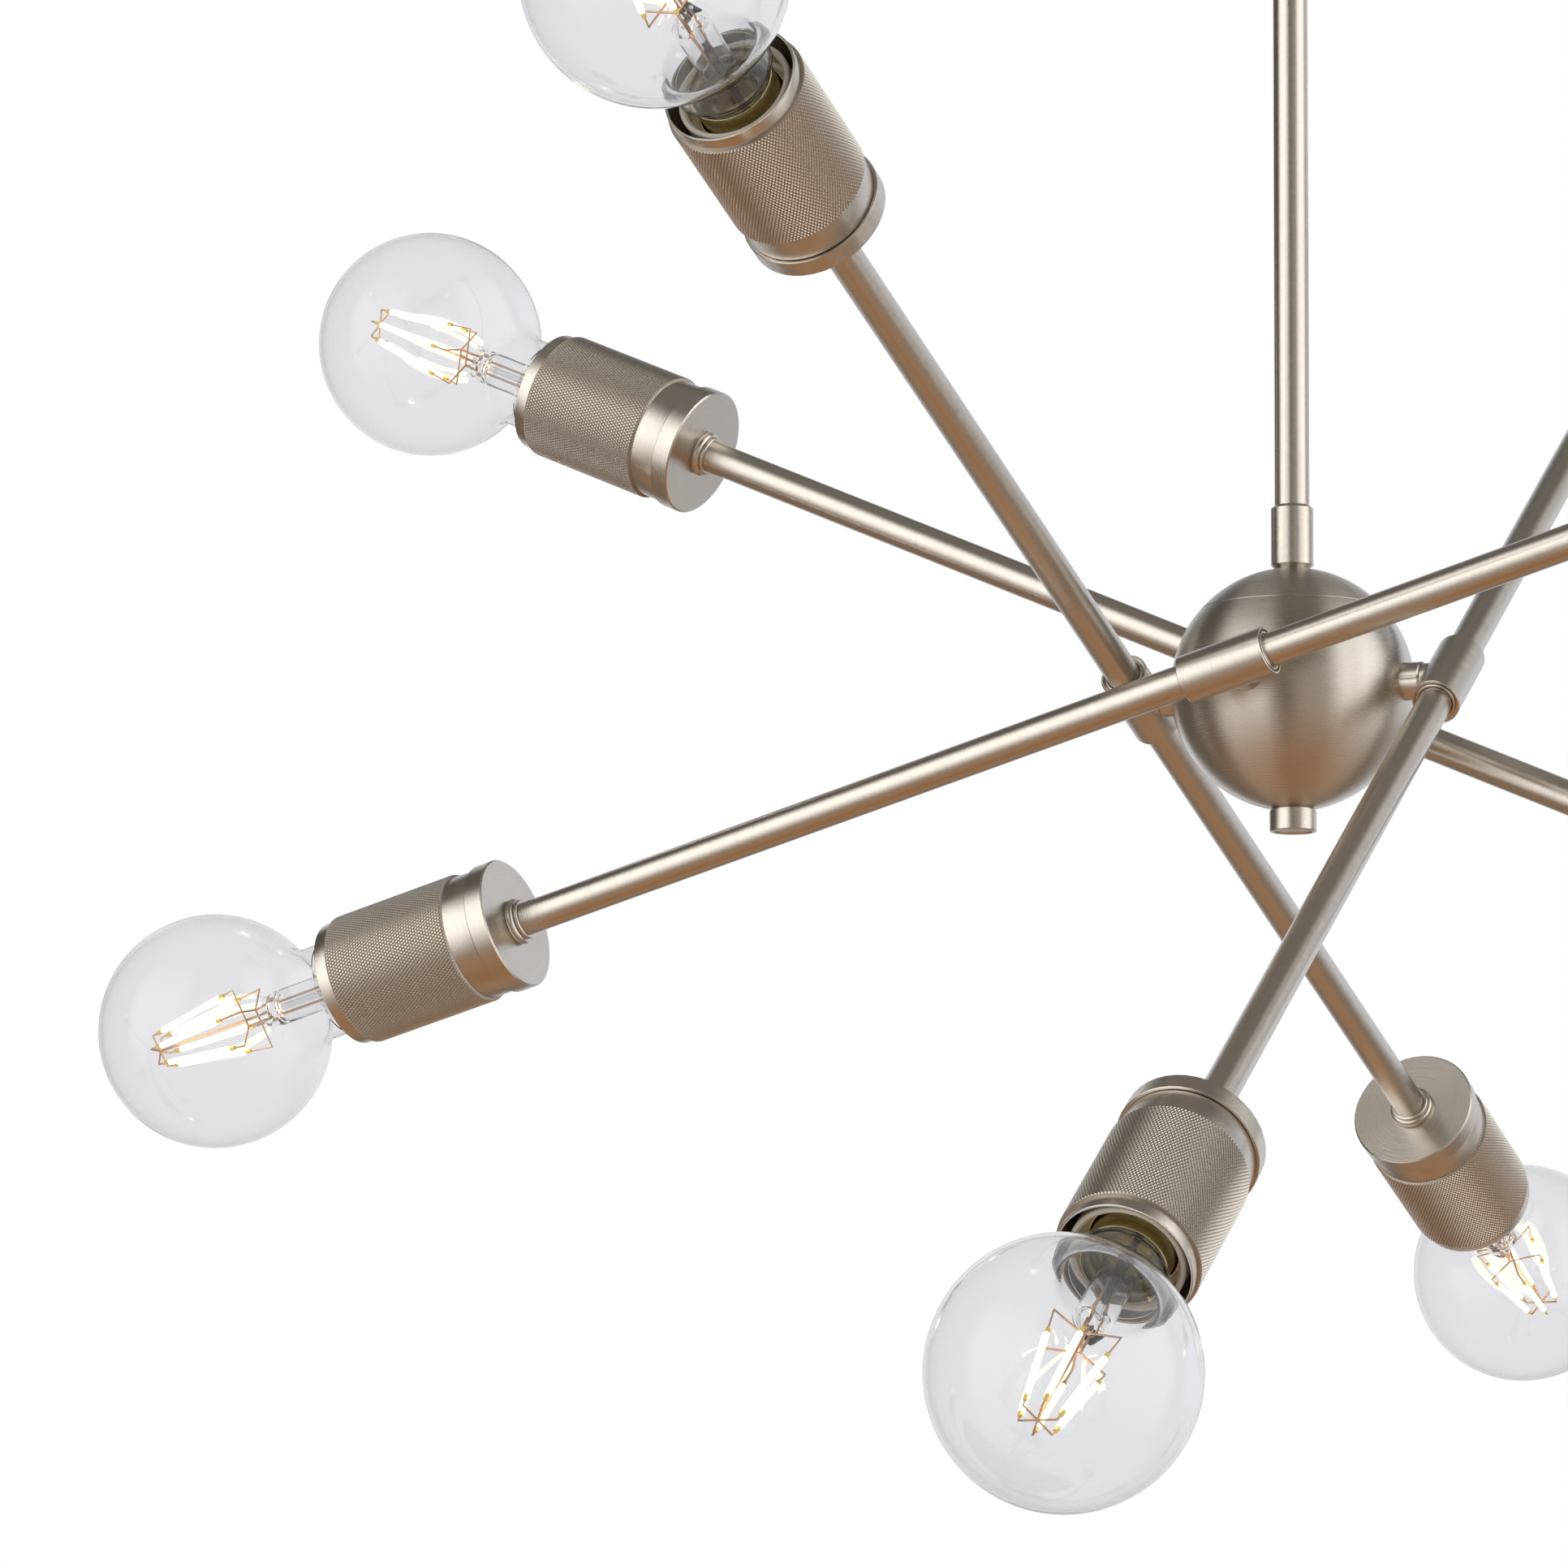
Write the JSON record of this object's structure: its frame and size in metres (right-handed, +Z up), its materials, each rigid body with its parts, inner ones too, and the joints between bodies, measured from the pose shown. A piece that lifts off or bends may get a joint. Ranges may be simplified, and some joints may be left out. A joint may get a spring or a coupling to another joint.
{
  "type": "sputnik chandelier",
  "caption": "Ceiling light on a rigid stem: ball hub with double arms that tilt on friction swivels, each arm end a knurled metal socket with a clear globe filament lamp",
  "frame": {"origin": "centre of the ceiling face of the canopy, midway between the two slots of the mounting bracket; the light hangs below it along -Z", "axes": "+Z is up, towards the ceiling, along the stem; the front arm is on -Y, the right arm on +X, the back arm on +Y and the left arm on -X; the bracket's slots run along X"},
  "size_m": [0.8304, 0.7846, 0.983],
  "materials": {
    "satin_nickel": "satin brushed nickel plating, brushed round on turned faces",
    "knurled_nickel": "satin nickel plating over a fine diamond knurl, plain rings at both ends",
    "zinc_steel": "bright zinc plated steel",
    "porcelain": "glazed cream porcelain",
    "contact_brass": "bright brass sheet",
    "lamp_cap_metal": "bright brass lamp cap",
    "globe_glass": "clear blown glass",
    "stem_glass": "clear drawn glass",
    "filament": "glowing coated filaments on copper-coloured wires"
  },
  "bodies": {
    "root": {"ceiling_canopy": "satin_nickel", "mounting_bracket": "zinc_steel", "stem_nipple": "zinc_steel", "nipple_nuts": "zinc_steel", "canopy_collar": "satin_nickel", "stem_rods": "satin_nickel", "rod_coupler": "satin_nickel", "ball_coupler": "satin_nickel", "ball_top_shell": "satin_nickel", "ball_bottom_shell": "satin_nickel", "ball_tie": "zinc_steel", "pivot_stubs": "satin_nickel", "pivot_clips": "zinc_steel", "finial": "satin_nickel"},
    "front_arm": {"front_arm_collar": "satin_nickel", "front_arm_tubes": "satin_nickel", "front_cap_nuts": "satin_nickel", "front_end_caps": "satin_nickel", "front_knurled_cups": "knurled_nickel", "front_lampholders": "porcelain", "front_socket_contacts": "contact_brass", "front_lamp_caps": "lamp_cap_metal", "front_globes": "globe_glass", "front_lamp_stems": "stem_glass", "front_filaments": "filament"},
    "right_arm": {"right_arm_collar": "satin_nickel", "right_arm_tubes": "satin_nickel", "right_cap_nuts": "satin_nickel", "right_end_caps": "satin_nickel", "right_knurled_cups": "knurled_nickel", "right_lampholders": "porcelain", "right_socket_contacts": "contact_brass", "right_lamp_caps": "lamp_cap_metal", "right_globes": "globe_glass", "right_lamp_stems": "stem_glass", "right_filaments": "filament"},
    "back_arm": {"back_arm_collar": "satin_nickel", "back_arm_tubes": "satin_nickel", "back_cap_nuts": "satin_nickel", "back_end_caps": "satin_nickel", "back_knurled_cups": "knurled_nickel", "back_lampholders": "porcelain", "back_socket_contacts": "contact_brass", "back_lamp_caps": "lamp_cap_metal", "back_globes": "globe_glass", "back_lamp_stems": "stem_glass", "back_filaments": "filament"},
    "left_arm": {"left_arm_collar": "satin_nickel", "left_arm_tubes": "satin_nickel", "left_cap_nuts": "satin_nickel", "left_end_caps": "satin_nickel", "left_knurled_cups": "knurled_nickel", "left_lampholders": "porcelain", "left_socket_contacts": "contact_brass", "left_lamp_caps": "lamp_cap_metal", "left_globes": "globe_glass", "left_lamp_stems": "stem_glass", "left_filaments": "filament"}
  },
  "joints": [
    {"name": "front_swivel", "type": "hinge", "parent": "root", "child": "front_arm", "pos_m": [0, -0.0545, -0.7], "axis": [0, -1, 0], "range_deg": [-5.2, 64.8]},
    {"name": "right_swivel", "type": "hinge", "parent": "root", "child": "right_arm", "pos_m": [0.0545, 0, -0.7], "axis": [1, 0, 0], "range_deg": [-28.7, 41.3]},
    {"name": "back_swivel", "type": "hinge", "parent": "root", "child": "back_arm", "pos_m": [0, 0.0545, -0.7], "axis": [0, 1, 0], "range_deg": [-13.7, 56.3]},
    {"name": "left_swivel", "type": "hinge", "parent": "root", "child": "left_arm", "pos_m": [-0.0545, 0, -0.7], "axis": [-1, 0, 0], "range_deg": [-15, 55]}
  ]
}
